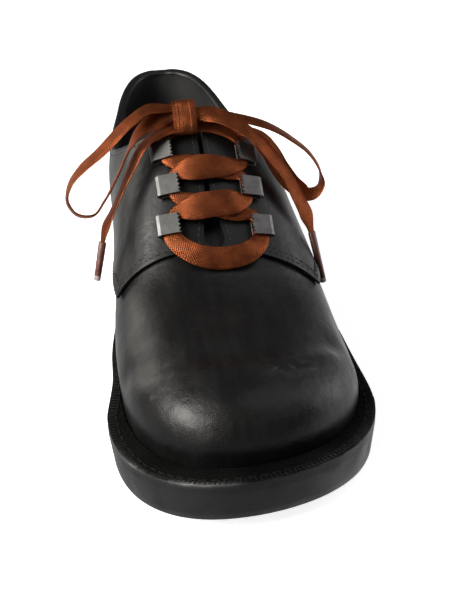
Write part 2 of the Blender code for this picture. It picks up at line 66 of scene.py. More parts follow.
bpy.ops.object.camera_add(location=CAMERA_PLACE)
camera = bpy.context.object
camera.name = "camera"
camera.rotation_mode = "QUATERNION"
look = (CAMERA_TARGET - CAMERA_PLACE).to_track_quat("-Z", "Y")
camera.rotation_quaternion = look @ Quaternion((0.0, 0.0, 1.0), CAMERA_ROLL)
camera.data.sensor_fit = "VERTICAL"
camera.data.sensor_height = SENSOR_HEIGHT
camera.data.lens = FOCAL_PX / PICTURE_HEIGHT_PX * SENSOR_HEIGHT
camera.data.clip_start = NEAREST_SEEN
bpy.context.scene.camera = camera
print("camera: lens", round(camera.data.lens, 1), "mm")

# %% [markdown]
# ## Floor and backdrop
# A studio picture has no horizon, because the pale floor runs into a pale wall. The floor would look grey
# in this light, so it glows a little, and a glowing open tube closes the horizon. A bent sheet could do
# both. Two plain pieces are easier to keep out of the leather: it mirrors the world in their place, so the
# toe stays dark.

# %% Floor and backdrop
FLOOR_SIZE = 8.0
FLOOR_DROP = 0.0003
FLOOR_GREY = (0.88, 0.88, 0.88)
FLOOR_GLOW = 0.8
BACKDROP_RADIUS = 3.9
BACKDROP_HEIGHT = 6.0
BACKDROP_SIDES = 64
BACKDROP_GLOW = 0.92
STAGE_ROUGHNESS = 0.6
WHITE = (1.0, 1.0, 1.0)
BLACK = (0.0, 0.0, 0.0)


def fill(holder, node, values):
    """Give a node of a material or world its settings, input values and the sockets that feed inputs."""
    for name, value in values.items():
        if isinstance(value, bpy.types.NodeSocket):
            holder.node_tree.links.new(value, node.inputs[name])
        elif isinstance(name, str) and name not in node.inputs:
            setattr(node, name, value)
        else:
            entry = node.inputs[name]
            entry.default_value = (*value, 1.0) if entry.type == "RGBA" else value
    return node


def set_shader(material, values):
    """Fill the material's main shader."""
    fill(material, material.node_tree.nodes["Principled BSDF"], values)


def plain_material(name, colour, roughness):
    """A material with one colour and one roughness, ready for more nodes."""
    made = bpy.data.materials.new(name)
    made.use_nodes = True
    set_shader(made, {"Base Color": colour, "Roughness": roughness})
    return made


def glowing(name, colour, strength):
    """A plain material that gives off a little white light."""
    made = plain_material(name, colour, STAGE_ROUGHNESS)
    set_shader(made, {"Emission Color": WHITE, "Emission Strength": strength})
    return made


bpy.ops.object.select_all(action="DESELECT")
bpy.ops.mesh.primitive_plane_add(size=FLOOR_SIZE, location=(0.0, 0.0, -FLOOR_DROP))
floor = bpy.context.object
floor.name = "floor"
floor.data.materials.append(glowing("pale_floor", FLOOR_GREY, FLOOR_GLOW))
bpy.ops.mesh.primitive_cylinder_add(
    vertices=BACKDROP_SIDES, radius=BACKDROP_RADIUS, depth=BACKDROP_HEIGHT, end_fill_type="NOTHING",
    location=(0.0, 0.0, BACKDROP_HEIGHT / 2 - FLOOR_DROP))
backdrop = bpy.context.object
backdrop.name = "backdrop"
backdrop.data.materials.append(glowing("pale_backdrop", BLACK, BACKDROP_GLOW))
backdrop.visible_shadow = False
for stage in (floor, backdrop):
    stage.visible_diffuse = False
    stage.visible_glossy = False
print("stage:", floor.name, "and", backdrop.name)

# %% [markdown]
# ## Light panels
# Black leather shows only what it reflects, so the light is what gives it form. A soft key panel high on
# the left draws the bright patch on the toe, panels low on both sides draw the long reflections along the
# vamp, and one overhead lights the top of the toe. Small lamps would give hard dots, so all are wide,
# faintly tinted areas.

# %% Light panels
PANELS = {
    "key_panel": {"place": (-0.85, -0.3, 0.75), "size": 0.65, "power": 19.0, "tint": (1.0, 0.97, 0.92)},
    "low_panel": {"place": (-0.6, -0.82, 0.33), "size": 0.35, "power": 1.2, "tint": (1.0, 0.97, 0.92)},
    "left_panel": {"place": (-0.8, 0.92, 0.48), "size": 0.75, "power": 4.0, "tint": (1.0, 0.95, 0.87)},
    "right_panel": {"place": (1.1, 0.15, 0.36), "size": 0.7, "power": 3.5, "tint": (1.0, 0.96, 1.0)},
    "top_panel": {"place": (0.6, -0.1, 1.1), "size": 0.8, "power": 1.5, "tint": (1.0, 0.97, 0.97)},
}
LIGHT_AIM = Vector((0.0, -40.0, 40.0)) * MM

for name, panel in PANELS.items():
    bpy.ops.object.light_add(type="AREA", location=panel["place"])
    light = bpy.context.object
    light.name = name
    light.data.size = panel["size"]
    light.data.energy = panel["power"]
    light.data.color = panel["tint"]
    aim = LIGHT_AIM - Vector(panel["place"])
    light.rotation_mode = "QUATERNION"
    light.rotation_quaternion = aim.to_track_quat("-Z", "Y")
print("panels:", ", ".join(PANELS))

# %% [markdown]
# ## World
# Where no panel stands, the leather mirrors the world. A picture of a studio could be laid around the shoe,
# but a few ramps do the same: dim above, pale at the horizon except in front and far left, and pale below.
# Each ramp turns one part of the direction into a strength, and the strengths are multiplied and added.

# %% World
SKY_RAMPS = {
    "above": ("Y", -0.95, 0.35, 0.05, 0.1),
    "horizon": ("Z", 0.0, 0.2, 0.55, 0.0),
    "not_in_front": ("Y", -0.65, -0.1, 0.06, 1.0),
    "not_far_left": ("X", -0.8, -0.2, 0.06, 1.0),
    "below": ("Z", -0.25, -0.02, 0.36, 0.0),
}


def new_node(holder, kind, values):
    """Add a node to a material or world, and fill it."""
    return fill(holder, holder.node_tree.nodes.new(kind), values)


def ramp(holder, value, start, end, low, high):
    """A value that runs from low to high as the given one runs from start to end."""
    values = {"Value": value, "From Min": start, "From Max": end, "To Min": low, "To Max": high}
    return new_node(holder, "ShaderNodeMapRange", values).outputs["Result"]


def maths(holder, operation, *terms):
    """A sum, a product or the like of terms, each a socket or a number."""
    values = {"operation": operation, **dict(enumerate(terms))}
    return new_node(holder, "ShaderNodeMath", values).outputs["Value"]


world = bpy.data.worlds.new("studio")
world.use_nodes = True
bpy.context.scene.world = world
direction = new_node(world, "ShaderNodeTexCoord", {}).outputs["Generated"]
parts = new_node(world, "ShaderNodeSeparateXYZ", {"Vector": direction}).outputs
sky = {name: ramp(world, parts[axis], *span) for name, (axis, *span) in SKY_RAMPS.items()}
low_light = maths(world, "MULTIPLY", sky["horizon"], sky["not_in_front"])
low_light = maths(world, "MULTIPLY", low_light, sky["not_far_left"])
low_light = maths(world, "ADD", low_light, sky["below"])
all_light = maths(world, "ADD", sky["above"], low_light)
fill(world, world.node_tree.nodes["Background"], {"Color": WHITE, "Strength": all_light})
bpy.context.scene.view_settings.view_transform = "Standard"
print("world:", world.name, "with", len(SKY_RAMPS), "ramps")

# %% [markdown]
# ## Starting a piece from its solid
# Most pieces already have the right form as solids with flat facets. A new sheet could be modelled over
# each, but a copy keeps every seam where it belongs. The copy's loose triangles are merged and paired into
# quads, its rims are marked, and a Subdivision Surface then rounds the facets while creases hold the rims.

# %% Copy a solid
MERGE_DISTANCE = 0.02 * MM
PAIR_TURN = math.radians(50)
PAIR_SHAPE = math.radians(70)


def pick_only(piece):
    """Leave edit mode, and make one piece the only selected and active one."""
    if bpy.context.object and bpy.context.object.mode != "OBJECT":
        bpy.ops.object.mode_set(mode="OBJECT")
    bpy.ops.object.select_all(action="DESELECT")
    piece.select_set(True)
    bpy.context.view_layer.objects.active = piece


def edit(piece, action):
    """Open one piece in edit mode, with everything in it selected or nothing."""
    pick_only(piece)
    bpy.ops.object.mode_set(mode="EDIT")
    bpy.ops.mesh.select_all(action=action)


def new_piece(name, mesh):
    """A piece with a mesh, put into the scene."""
    piece = bpy.data.objects.new(name, mesh)
    bpy.context.scene.collection.objects.link(piece)
    return piece


def copy_of(node, name):
    """A new piece with a merged copy of a solid's mesh, in quads where triangles pair up."""
    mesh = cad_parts[node].data.copy()
    mesh.materials.clear()
    piece = new_piece(name, mesh)
    pick_only(piece)
    if mesh.has_custom_normals:
        bpy.ops.mesh.customdata_custom_splitnormals_clear()
    edit(piece, "SELECT")
    bpy.ops.mesh.mark_sharp(clear=True)
    bpy.ops.mesh.remove_doubles(threshold=MERGE_DISTANCE)
    bpy.ops.mesh.tris_convert_to_quads(face_threshold=PAIR_TURN, shape_threshold=PAIR_SHAPE)
    bpy.ops.object.mode_set(mode="OBJECT")
    return piece


print("solids to copy:", ", ".join(sorted(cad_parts)))

# %% Hold rims and round facets
SMOOTH_ANGLE = math.radians(50)
SOFT_EDGE_SEGMENTS = 2


def hold_rims(piece, angle, crease):
    """Mark the edges that turn by more than an angle in degrees as sharp, and give them a crease."""
    edit(piece, "DESELECT")
    bpy.ops.mesh.select_mode(type="EDGE")
    bpy.ops.mesh.edges_select_sharp(sharpness=math.radians(angle))
    bpy.ops.mesh.mark_sharp()
    bpy.ops.transform.edge_crease(value=crease)
    bpy.ops.object.mode_set(mode="OBJECT")


def apply_modifier(piece, kind, **settings):
    """Finish a piece with a modifier, and apply it."""
    pick_only(piece)
    modifier = piece.modifiers.new(kind, kind)
    for name, value in settings.items():
        setattr(modifier, name, value)
    bpy.ops.object.modifier_apply(modifier=modifier.name)


def round_facets(piece, levels):
    """Apply a Subdivision Surface, and shade the piece smooth except at its rims."""
    apply_modifier(piece, "SUBSURF", levels=levels, render_levels=levels)
    edit(piece, "SELECT")
    bpy.ops.mesh.mark_sharp(clear=True)
    bpy.ops.object.mode_set(mode="OBJECT")
    bpy.ops.object.shade_smooth_by_angle(angle=SMOOTH_ANGLE)


def soften_edges(piece, width):
    """Apply a narrow bevel to the edges that turn sharply."""
    apply_modifier(piece, "BEVEL", width=width, segments=SOFT_EDGE_SEGMENTS, limit_method="ANGLE",
                   angle_limit=SMOOTH_ANGLE, harden_normals=True)


print("edges stay sharp past", round(math.degrees(SMOOTH_ANGLE)), "degrees")

# %% Sides of a sheet and dressing
def sheet_at(piece, spot):
    """Indices of the faces that join the face nearest to a spot without crossing a rim."""
    form = bmesh.new()
    form.from_mesh(piece.data)
    form.faces.ensure_lookup_table()
    start = min(form.faces, key=lambda face: (face.calc_center_median() - spot).length)
    found = {start.index}
    waiting = [start]
    while waiting:
        face = waiting.pop()
        for edge in face.edges:
            if not edge.smooth:
                continue
            for other in edge.link_faces:
                if other.index not in found:
                    found.add(other.index)
                    waiting.append(other)
    form.free()
    return found


def dress(piece, slot, *nodes):
    """Put a piece in place of the solids that it stands for."""
    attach(piece, "root")
    if nodes:
        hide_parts(*nodes)
    print(piece.name, "has", sum(len(face.vertices) - 2 for face in piece.data.polygons), "triangles")


# %% [markdown]
# ## Black leather
# The upper is smooth calf with a soft polish. A flat black would look like plastic, so the colour drifts a
# little, the polish varies in brushed streaks, and a very fine grain with shallow wrinkles breaks up the
# reflections. Where a point stores a scuff or a painted highlight, pale dull marks come through. A picture
# of leather could be laid on instead, but noise patterns need no seams and can be retuned by a number.

# %% Material helpers
# A Mix node has a set of sockets for each kind of value. These are the ones for colours.
MIX_FACTOR, MIX_FIRST, MIX_SECOND, MIX_RESULT = 0, 6, 7, 2


def object_place(material):
    """The place of each point on the piece, for patterns that stay with it."""
    return new_node(material, "ShaderNodeTexCoord", {}).outputs["Object"]


def stored_value(material, attribute):
    """A value that the points of a piece store."""
    return new_node(material, "ShaderNodeAttribute", {"attribute_name": attribute}).outputs["Fac"]


def noise_range(material, vector, scale, low=0.0, high=1.0, detail=4.0, start=0.35, end=0.65):
    """A noise pattern whose value runs between two ends."""
    noise = new_node(material, "ShaderNodeTexNoise", {"Vector": vector, "Scale": scale, "Detail": detail})
    return ramp(material, noise.outputs["Fac"], start, end, low, high)


def colour_between(material, factor, first, second):
    """A colour that runs from the first to the second with a factor. Each is a colour or a socket."""
    values = {"data_type": "RGBA", MIX_FACTOR: factor, MIX_FIRST: first, MIX_SECOND: second}
    return new_node(material, "ShaderNodeMix", values).outputs[MIX_RESULT]


def drifting(material, place, scale, dark, light):
    """A colour that drifts between two shades."""
    return colour_between(material, noise_range(material, place, scale), dark, light)


def bumps(material, height, distance, strength, under=None):
    """A bump node for a height pattern, on top of another bump if one is given."""
    values = {"Height": height, "Distance": distance, "Strength": strength}
    if under is not None:
        values["Normal"] = under
    return new_node(material, "ShaderNodeBump", values).outputs["Normal"]


def wear_and_highlight_colour(material, attribute, patches, body, pale):
    """The body colour, turned pale in patches where a stored value is high, and the amount of paleness. The
    value holds wear and painted highlight.
    """
    amount = maths(material, "MULTIPLY", stored_value(material, attribute), patches)
    return colour_between(material, amount, body, pale), amount


print("colours run between Mix inputs", MIX_FIRST, "and", MIX_SECOND)

# %% Leather
# Pale marks on the toe: scuff marks, and a painted highlight on the lip of the toe fold.
SCUFF_AND_HIGHLIGHT_GREY = (0.02, 0.0198, 0.0195)
SCUFF_AND_HIGHLIGHT_DULLS = 0.15
BRUSH_STRETCH = (2.4, 0.6, 0.6)
LEATHER_SPECULAR = 0.4


def leather(name, dark, light, gloss, grain):
    """Black leather: drifting colour, brushed polish, pale scuff marks and a painted highlight, fine grain,
    wrinkles and dents.
    """
    made = plain_material(name, dark, gloss[1])
    place = object_place(made)
    body = drifting(made, place, 45.0, dark, light)
    marks = noise_range(made, place, 330.0, detail=5.0, start=0.53, end=0.64)
    shade, scuff_and_highlight_amount = wear_and_highlight_colour(made, "scuff_and_fold_highlight", marks, body, SCUFF_AND_HIGHLIGHT_GREY)
    brushed = new_node(made, "ShaderNodeMapping", {"Vector": place, "Scale": BRUSH_STRETCH})
    polish = noise_range(made, brushed.outputs["Vector"], 75.0, *gloss)
    pores = new_node(made, "ShaderNodeTexVoronoi", {"Vector": place, "Scale": 1500.0})
    wrinkles = noise_range(made, place, 240.0, detail=6.0)
    dents = noise_range(made, place, 60.0, detail=2.0, start=0.3, end=0.7)
    normal = bumps(made, pores.outputs["Distance"], distance=0.1 * MM, strength=grain)
    normal = bumps(made, wrinkles, distance=0.2 * MM, strength=0.32, under=normal)
    normal = bumps(made, dents, distance=1.2 * MM, strength=0.055, under=normal)
    dulled = maths(made, "MULTIPLY_ADD", scuff_and_highlight_amount, SCUFF_AND_HIGHLIGHT_DULLS, polish)
    set_shader(made, {"Base Color": shade, "Roughness": dulled, "Normal": normal,
                      "Specular IOR Level": LEATHER_SPECULAR})
    return made


upper_leather = leather("black_calf", dark=(0.003, 0.003, 0.0032), light=(0.0065, 0.0063, 0.0063),
                        gloss=(0.34, 0.46), grain=0.25)
lining_leather = leather("black_lining", dark=(0.03, 0.03, 0.031), light=(0.045, 0.045, 0.046),
                         gloss=(0.55, 0.7), grain=0.6)
print("leather:", upper_leather.name, lining_leather.name)

# %% [markdown]
# ## Upper
# The upper is one sheet of leather pulled over a last. Its outside is calf and its inside is lining. The
# faces could be picked one by one; here a flood from one inner face up to the rims finds the whole lining.

# %% Upper
INNER_SPOT = Vector((0.0, -70.0, 44.0)) * MM
ROUND_LEVELS = 2
CALF_SLOT, LINING_SLOT = 0, 1

upper = copy_of("upper", "upper_leather")
hold_rims(upper, angle=55, crease=0.7)
lining_faces = sheet_at(upper, INNER_SPOT)
upper.data.materials.append(upper_leather)
upper.data.materials.append(lining_leather)
for face in upper.data.polygons:
    face.material_index = LINING_SLOT if face.index in lining_faces else CALF_SLOT
round_facets(upper, ROUND_LEVELS)
print("lining:", len(lining_faces), "faces of the solid")

# %% [markdown]
# ## Toe and creases
# Behind the toe the stiffener ends and the leather sinks a little. That line, its raised front edge, the
# small fold beside it and the soft creases at the ball show how the shoe has been worn. A sculpting brush
# could draw them. Here the top of the toe is first smoothed in shrinking circles, and each crease is then
# pressed in along a listed line, which gives the same shape on every run.

# %% Toe and creases
LAST_AXIS = (0.0, 0.0, 12.0 * MM)
UP_FRONT = Vector((0.0, -0.3, 1.0))
TOE_TOP = Vector((-0.8, -101.0, 48.6)) * MM
TOE_CIRCLES = (34.0 * MM, 27.0 * MM, 20.0 * MM, 14.0 * MM)
TOE_REPEATS = 10
FACING_SHARE = 0.3
CREASES = {
    "toe_stiffener": {"width": 8.0, "depth": 1.6, "line": (
        (-46, -84, 34), (-36, -94, 44), (-16, -98, 49), (6, -98, 49.6), (24, -93, 47), (40, -82, 39))},
    "stiffener_edge": {"width": 5.0, "depth": -0.65, "line": (
        (-40, -104, 41), (-16, -110, 47.5), (6, -110, 48), (26, -103, 45), (38, -94, 40))},
    "toe_fold": {"width": 2.8, "depth": 0.45, "line": (
        (8, -107, 48.4), (16, -108, 47.2), (25, -104, 45))},
    "toe_fold_lip": {"width": 2.8, "depth": -0.55, "line": (
        (8, -111, 47.8), (16, -112, 46.4), (25, -108, 44.4))},
    "ball_fold_front": {"width": 5.0, "depth": 0.35, "line": (
        (-40, -74, 44), (-18, -78, 50), (8, -79, 50), (30, -74, 46))},
    "ball_fold_back": {"width": 5.0, "depth": 0.3, "line": (
        (-38, -58, 48), (-14, -62, 54), (14, -62, 53), (36, -57, 47))},
}


def points_of(piece):
    """The places of a piece's points as one array."""
    places = np.empty(len(piece.data.vertices) * 3)
    piece.data.vertices.foreach_get("co", places)
    return places.reshape(-1, 3)


def distance_to_line(places, line):
    """Shortest distance from each place to a line of points."""
    nearest = np.full(len(places), np.inf)
    for start, end in zip(np.array(line), np.array(line)[1:]):
        along = end - start
        part = np.clip((places - start) @ along / (along @ along), 0.0, 1.0)
        nearest = np.minimum(nearest, np.linalg.norm(places - start - part[:, None] * along, axis=1))
    return nearest


def nearness(distance, reach):
    """1 at no distance, falling softly towards 0 past the reach."""
    return np.exp(-(distance / reach) ** 2)


def press_crease(piece, crease):
    """Push a soft trough into a sheet, towards the middle of the shoe. A depth below 0 raises a ridge."""
    places = points_of(piece)
    away = distance_to_line(places, np.array(crease["line"]) * MM)
    inwards = np.array(LAST_AXIS) - places
    inwards[:, 1] = 0.0
    inwards /= np.linalg.norm(inwards, axis=1)[:, None]
    places += inwards * (crease["depth"] * MM * nearness(away, crease["width"] * MM))[:, None]
    piece.data.vertices.foreach_set("co", places.ravel())
    piece.data.update()


def select_where(piece, kind, wanted):
    """Open a piece in edit mode with only its wanted points, edges or faces selected."""
    edit(piece, "DESELECT")
    bpy.ops.mesh.select_mode(type=kind)
    form = bmesh.from_edit_mesh(piece.data)
    for item in {"VERT": form.verts, "EDGE": form.edges, "FACE": form.faces}[kind]:
        item.select_set(bool(wanted(item)))
    bmesh.update_edit_mesh(piece.data)


def relax_near(piece, centre, reach, repeats, facing):
    """Smooth the points around a spot, on both sides of a sheet that faces one way."""
    select_where(piece, "VERT", lambda vertex: (vertex.co - centre).length < reach
                 and abs(vertex.normal.dot(facing)) > FACING_SHARE)
    bpy.ops.mesh.vertices_smooth(factor=0.5, repeat=repeats)
    bpy.ops.object.mode_set(mode="OBJECT")


for reach in TOE_CIRCLES:
    relax_near(upper, TOE_TOP, reach, TOE_REPEATS, UP_FRONT)
for crease in CREASES.values():
    press_crease(upper, crease)
print("creases:", ", ".join(CREASES))

# %% [markdown]
# ## Scuffs and a painted highlight
# A worn toe has faint pale scuff marks, and a pale painted highlight lies along the lip of the small fold.
# They could be painted on a picture. Here each point stores how near it is to a listed mark, given by its
# place and reach, and the leather shows its marks where that value is high.

# %% Scuffs and a painted highlight
# The first three are scuff marks; the last two paint a highlight along the lip of the toe fold.
SCUFFS_AND_FOLD_HIGHLIGHT = ((-38.5, -108.5, 39.5, 5.0), (30.0, -119.0, 37.5, 11.0), (38.0, -106.0, 37.0, 10.0),
          (12.5, -113.0, 46.6, 4.0), (18.5, -111.5, 45.7, 4.0))


def store(piece, name, values):
    """Keep a value for each point of a piece, which its material can read."""
    piece.data.attributes.new(name, "FLOAT", "POINT").data.foreach_set("value", values)


rub_and_highlight_nearness = [nearness(np.linalg.norm(points_of(upper) - np.array(spot) * MM, axis=1), reach * MM)
        for *spot, reach in SCUFFS_AND_FOLD_HIGHLIGHT]
store(upper, "scuff_and_fold_highlight", np.max(rub_and_highlight_nearness, axis=0))
dress(upper, "upper_leather", "upper")

# %% [markdown]
# ## Quarters, tongue and insole
# The quarters lie over the upper and meet at the throat. Each is a copy of its solid, with a firmer crease
# on the rims so that the cut edge of the leather stays visible. They are rounded only after their
# stitching, which reads the rims. The tongue and the insole follow in the same way.

# %% Quarters, tongue and insole
quarters = {}
for side in ("medial", "lateral"):
    quarters[side] = copy_of("quarter_" + side, "quarter_leather_" + side)
    hold_rims(quarters[side], angle=50, crease=0.8)

for node, name, crease, material, slot in (
        ("tongue", "tongue_leather", 0.6, upper_leather, "upper_leather"),
        ("insole", "insole_lining", 0.7, lining_leather, "insole_lining")):
    sheet = copy_of(node, name)
    hold_rims(sheet, angle=50, crease=crease)
    sheet.data.materials.append(material)
    round_facets(sheet, ROUND_LEVELS)
    dress(sheet, slot, node)
print("quarters wait for their stitching:", ", ".join(quarters))

# %% [markdown]
# ## Stitching
# Rows of small stitches hold the edges of the quarters. One stitch is modelled from a sphere, and copies of
# it are laid along a path. The path could be drawn by hand as a curve; here it is the rim of the leather's
# outer side, moved inwards and laid back on the surface, so the stitches follow every curve of the edge.

# %% Paths beside a rim
PATH_STEP = 1.0 * MM
RIM_PROBE = 3.0 * MM
SHORTEST_RUN = 5


def rim_loops(piece, spot):
    """Closed loops of points round the sheet at a spot, the longest first, and a search tree of the sheet."""
    mesh = piece.data
    faces = sheet_at(piece, spot)
    times = {}
    for index in faces:
        for key in mesh.polygons[index].edge_keys:
            times[key] = times.get(key, 0) + 1
    beside = {}
    for first, second in (key for key, count in times.items() if count == 1):
        beside.setdefault(first, []).append(second)
        beside.setdefault(second, []).append(first)
    left = set(beside)
    loops = []
    while left:
        here = min(left)
        loop = []
        while here is not None:
            left.discard(here)
            loop.append(mesh.vertices[here].co.copy())
            here = next((other for other in beside[here] if other in left), None)
        loops.append(loop)
    loops.sort(key=len, reverse=True)
    tree = BVHTree.FromPolygons([vertex.co for vertex in mesh.vertices],
                                [mesh.polygons[index].vertices for index in faces])
    return loops, tree


def travel_along(line):
    """The distance travelled along a line up to each of its points."""
    return np.concatenate(([0.0], np.cumsum(np.linalg.norm(np.diff(line, axis=0), axis=1))))


def even_steps(points, step):
    """Points at equal steps round a closed loop of points, without the first one again at the end."""
    line = np.array([tuple(point) for point in points] + [tuple(points[0])])
    travel = travel_along(line)
    stops = np.linspace(0.0, travel[-1], max(2, int(travel[-1] / step) + 1))
    return [Vector([np.interp(stop, travel, line[:, axis]) for axis in range(3)]) for stop in stops[:-1]]


def beside_rim(loop, tree, inset):
    """The loop moved inwards over the sheet: rows of place, way along, outward normal and way inwards."""
    spots = even_steps(loop, PATH_STEP)
    rows = []
    for index, spot in enumerate(spots):
        along = (spots[(index + 2) % len(spots)] - spots[index - 2]).normalized()
        _, normal, _, _ = tree.find_nearest(spot)
        inward = normal.cross(along).normalized()
        gap_behind = tree.find_nearest(spot - inward * RIM_PROBE)[3]
        gap_ahead = tree.find_nearest(spot + inward * RIM_PROBE)[3]
        if gap_behind < gap_ahead:
            inward = -inward
        place, normal, _, _ = tree.find_nearest(spot + inward * inset)
        rows.append((place, along, normal, inward))
    return rows


def runs_where(rows, wanted):
    """The stretches of a closed list of rows whose place is wanted."""
    start = next((index for index, row in enumerate(rows) if not wanted(row[0])), 0)
    turned = rows[start:] + rows[:start]
    runs = [[]]
    for row in turned:
        if wanted(row[0]):
            runs[-1].append(row)
        elif runs[-1]:
            runs.append([])
    return [run for run in runs if len(run) >= SHORTEST_RUN]


def every(rows, pitch):
    """Rows at a pitch along a path whose rows are one path step apart."""
    return rows[::max(1, round(pitch / PATH_STEP))]


print("paths have a row every", PATH_STEP / MM, "mm")

# %% One stitch and its copies
STITCH_SIDES = 6
STITCH_RINGS = 5
STITCH_FLAT = 0.7


def stitch_form(length, radius):
    """Corners and faces of one stitch, modelled as a small stretched sphere."""
    bpy.ops.object.select_all(action="DESELECT")
    bpy.ops.mesh.primitive_uv_sphere_add(segments=STITCH_SIDES, ring_count=STITCH_RINGS, radius=radius)
    stitch = bpy.context.object
    edit(stitch, "SELECT")
    bpy.ops.transform.rotate(value=math.pi / 2, orient_axis="Y", center_override=(0.0, 0.0, 0.0))
    bpy.ops.transform.resize(value=(length / (2 * radius), 1.0, STITCH_FLAT))
    bpy.ops.object.mode_set(mode="OBJECT")
    corners = [vertex.co.copy() for vertex in stitch.data.vertices]
    faces = sorted(tuple(face.vertices) for face in stitch.data.polygons)
    bpy.data.objects.remove(stitch)
    return corners, faces


def lay_stitches(name, places, length, radius, material):
    """One piece with a stitch at each place: a point, the direction of the thread and the outward normal."""
    corners, faces = stitch_form(length, radius)
    all_corners = []
    all_faces = []
    for place, along, normal in places:
        across = normal.cross(along).normalized()
        start = len(all_corners)
        all_corners += [place + along * corner.x + across * corner.y + normal * corner.z
                        for corner in corners]
        all_faces += [tuple(start + index for index in face) for face in faces]
    mesh = bpy.data.meshes.new(name)
    mesh.from_pydata(all_corners, [], all_faces)
    mesh.shade_smooth()
    mesh.materials.append(material)
    return new_piece(name, mesh)


print("stitch:", len(stitch_form(2.0 * MM, 0.25 * MM)[1]), "faces")

# %% [markdown]
# ## Stitches on the quarters
# One row runs beside the whole edge of a quarter, and a second one beside its front. Slanting stitches
# close together tack the front corner down, where the strain is greatest. The thread is dull and black, and
# its twist could be modelled, but at this size a fine noise in shade and height looks the same.

# %% Stitches on the quarters
EDGE_INSET = 2.2 * MM
SECOND_INSET = 4.4 * MM
STITCH_LENGTH = 2.2 * MM
STITCH_RADIUS = 0.26 * MM
STITCH_PITCH = 3.0 * MM
TACK_LENGTH = 3.4 * MM
TACK_PITCH = 1.4 * MM
TACK_REACH = 13.0 * MM
WELT_CLEAR_Z = 46.0 * MM
FRONT_END_Y = -20.0 * MM
SECOND_TOP_Z = 62.0 * MM
COLLAR_Y = 13.0 * MM
COLLAR_LOW_Z = 70.0 * MM
BACK_SEAM_Y = 146.5 * MM
BACK_TOP_Z = 97.0 * MM
OUTSIDE = {"medial": Vector((-90.0, 30.0, 60.0)) * MM, "lateral": Vector((90.0, 30.0, 60.0)) * MM}
THREAD_ROUGHNESS = 0.6


def spun(name, dark, light, specular):
    """Dull thread whose shade and height change with its fine twist."""
    made = plain_material(name, dark, THREAD_ROUGHNESS)
    twist = noise_range(made, object_place(made), 1400.0, detail=2.0)
    set_shader(made, {"Base Color": colour_between(made, twist, dark, light),
                      "Normal": bumps(made, twist, distance=0.1 * MM, strength=0.5),
                      "Specular IOR Level": specular})
    return made


def on_collar(place):
    """Whether a place on the rim belongs to the collar, and not to the seam at the back."""
    above_seam = place.y < BACK_SEAM_Y or place.z > BACK_TOP_Z
    return place.y > COLLAR_Y and place.z > COLLAR_LOW_Z and above_seam


thread = spun("black_thread", (0.009, 0.009, 0.0095), (0.02, 0.02, 0.0205), specular=0.5)
collar_paths = {}
stitch_places = []
tack_places = []
for side, quarter in quarters.items():
    loops, tree = rim_loops(quarter, OUTSIDE[side])
    first_row = beside_rim(loops[0], tree, EDGE_INSET)
    second_row = beside_rim(loops[0], tree, SECOND_INSET)
    shown = runs_where(first_row, lambda place: place.z > WELT_CLEAR_Z or place.y < FRONT_END_Y)
    shown += runs_where(second_row, lambda place: place.y < FRONT_END_Y and place.z < SECOND_TOP_Z)
    stitch_places += [row[:3] for run in shown for row in every(run, STITCH_PITCH)]
    corner = min(first_row, key=lambda row: row[0].y + row[0].z)[0]
    print(side, "front corner at", [round(value / MM) for value in corner])
    for run in runs_where(second_row, lambda place: (place - corner).length < TACK_REACH):
        tack_places += [(place, (along + inward).normalized(), normal)
                        for place, along, normal, inward in every(run, TACK_PITCH)]
    collar_paths[side] = max(runs_where(beside_rim(loops[0], tree, 0.0), on_collar), key=len)

for name, places, length in (("quarter_stitches", stitch_places, STITCH_LENGTH),
                             ("corner_tacks", tack_places, TACK_LENGTH)):
    dress(lay_stitches(name, places, length, STITCH_RADIUS, thread), "upper_leather")
for side, quarter in quarters.items():
    quarter.data.materials.append(upper_leather)
    round_facets(quarter, ROUND_LEVELS)
    dress(quarter, "upper_leather", "quarter_" + side)
print("stitches:", len(stitch_places), "and", len(tack_places), "in the tacks")

# %% [markdown]
# ## Collar binding
# A folded strip of leather closes the collar over the quarter and the lining. It could be a bevelled curve,
# but a curve turns its section freely; here each ring is set square to the quarter's surface, so it lies
# like a fold.

# %% Collar binding
BINDING_HALF_WIDTH = 2.35 * MM
BINDING_HALF_HEIGHT = 1.2 * MM
BINDING_SIDES = 10
BINDING_STEP = 2
BINDING_EASE = 6
WALL_MIDDLE = 1.95 * MM


def ring_mesh(name, rings):
    """A tube through rings of points, with its ends filled."""
    count = len(rings[0])
    faces = []
    for ring in range(len(rings) - 1):
        for index in range(count):
            after = (index + 1) % count
            faces.append((ring * count + index, ring * count + after,
                          (ring + 1) * count + after, (ring + 1) * count + index))
    faces.append(tuple(range(count))[::-1])
    faces.append(tuple(range((len(rings) - 1) * count, len(rings) * count)))
    mesh = bpy.data.meshes.new(name)
    mesh.from_pydata([point for ring in rings for point in ring], [], faces)
    piece = new_piece(name, mesh)
    edit(piece, "SELECT")
    bpy.ops.mesh.normals_make_consistent(inside=False)
    bpy.ops.object.mode_set(mode="OBJECT")
    bpy.ops.object.shade_smooth_by_angle(angle=SMOOTH_ANGLE)
    return piece


def front_to_back(run):
    """The rows of a path in the order from the front of the shoe to its back."""
    return run if run[0][0].y < run[-1][0].y else run[::-1]


